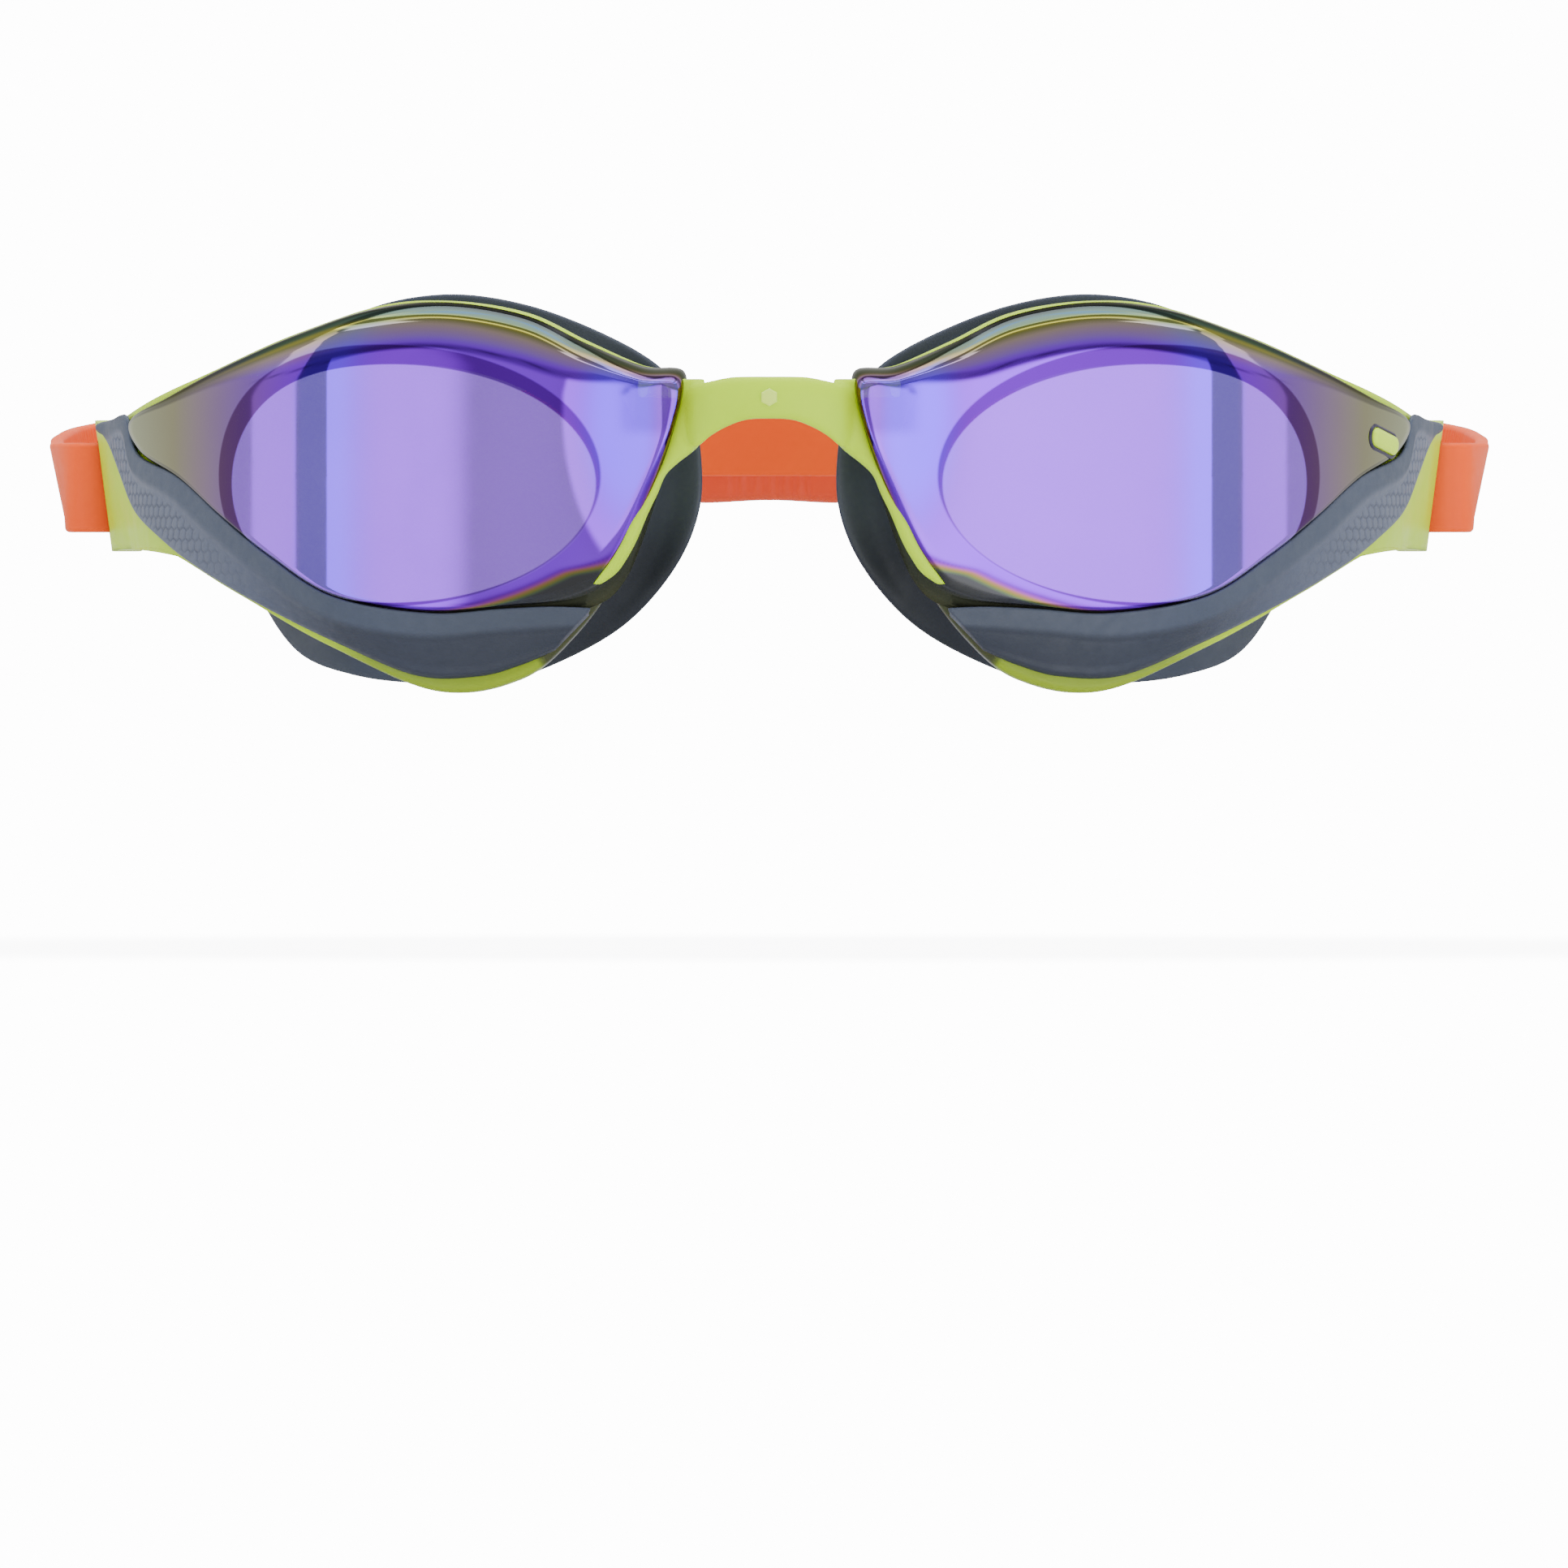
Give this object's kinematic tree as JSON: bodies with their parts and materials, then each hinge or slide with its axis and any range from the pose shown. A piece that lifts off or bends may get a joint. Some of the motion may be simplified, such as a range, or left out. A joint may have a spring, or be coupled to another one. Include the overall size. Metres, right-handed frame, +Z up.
{
  "type": "swim goggles",
  "caption": "Racing swim goggles with wrap-around mirror lenses, grey grip panels, lime rims and bridge, soft gaskets and a double orange strap with a rear clip.",
  "frame": {"origin": "centre of the bounding box in X and Y, at the lowest rim", "axes": "+X across the face to the viewer's right, -Y the front that the lenses face, +Z up"},
  "size_m": [0.1656, 0.1606, 0.0456],
  "materials": {
    "mirror_lens": "violet mirror coat on smoky clear plastic",
    "lime_plastic": "smooth satin",
    "lime_bridge": "soft satin",
    "lime_badge": "gloss print",
    "grey_grip": "matte with a hexagonal relief",
    "slate_silicone": "soft satin silicone",
    "dark_plastic": "smooth",
    "orange_silicone": "satin silicone with fine ribs",
    "clip_plastic": "satin, matched to the strap"
  },
  "bodies": {
    "front_frame": {"lens_right": "mirror_lens", "lens_left": "mirror_lens", "frame_right": "lime_plastic", "frame_left": "lime_plastic", "nose_bridge": "lime_bridge", "grip_panel_right": "grey_grip", "grip_panel_left": "grey_grip", "gasket_right": "slate_silicone", "gasket_left": "slate_silicone", "eye_ring_right": "dark_plastic", "eye_ring_left": "dark_plastic", "lens_badge": "lime_badge", "strap_loop_right": "orange_silicone", "strap_loop_left": "orange_silicone"},
    "outer_band": {"outer_strap_right": "orange_silicone", "outer_strap_left": "orange_silicone"},
    "inner_band": {"inner_strap": "orange_silicone"},
    "clip": {"strap_clip": "clip_plastic"}
  },
  "joints": [
    {"name": "outer_band_swing", "type": "hinge", "parent": "front_frame", "child": "outer_band", "pos_m": [0, 0.01173, 0.0235], "axis": [1, 0, 0], "range_deg": [-45, 60], "stiffness_Nm_per_rad": 0.05},
    {"name": "inner_band_swing", "type": "hinge", "parent": "front_frame", "child": "inner_band", "pos_m": [0, 0.01173, 0.0235], "axis": [1, 0, 0], "range_deg": [-45, 60], "stiffness_Nm_per_rad": 0.05},
    {"name": "clip_slide", "type": "slide", "parent": "outer_band", "child": "clip", "axis": [1, 0, 0], "range_m": [-0.01, 0.01]}
  ]
}
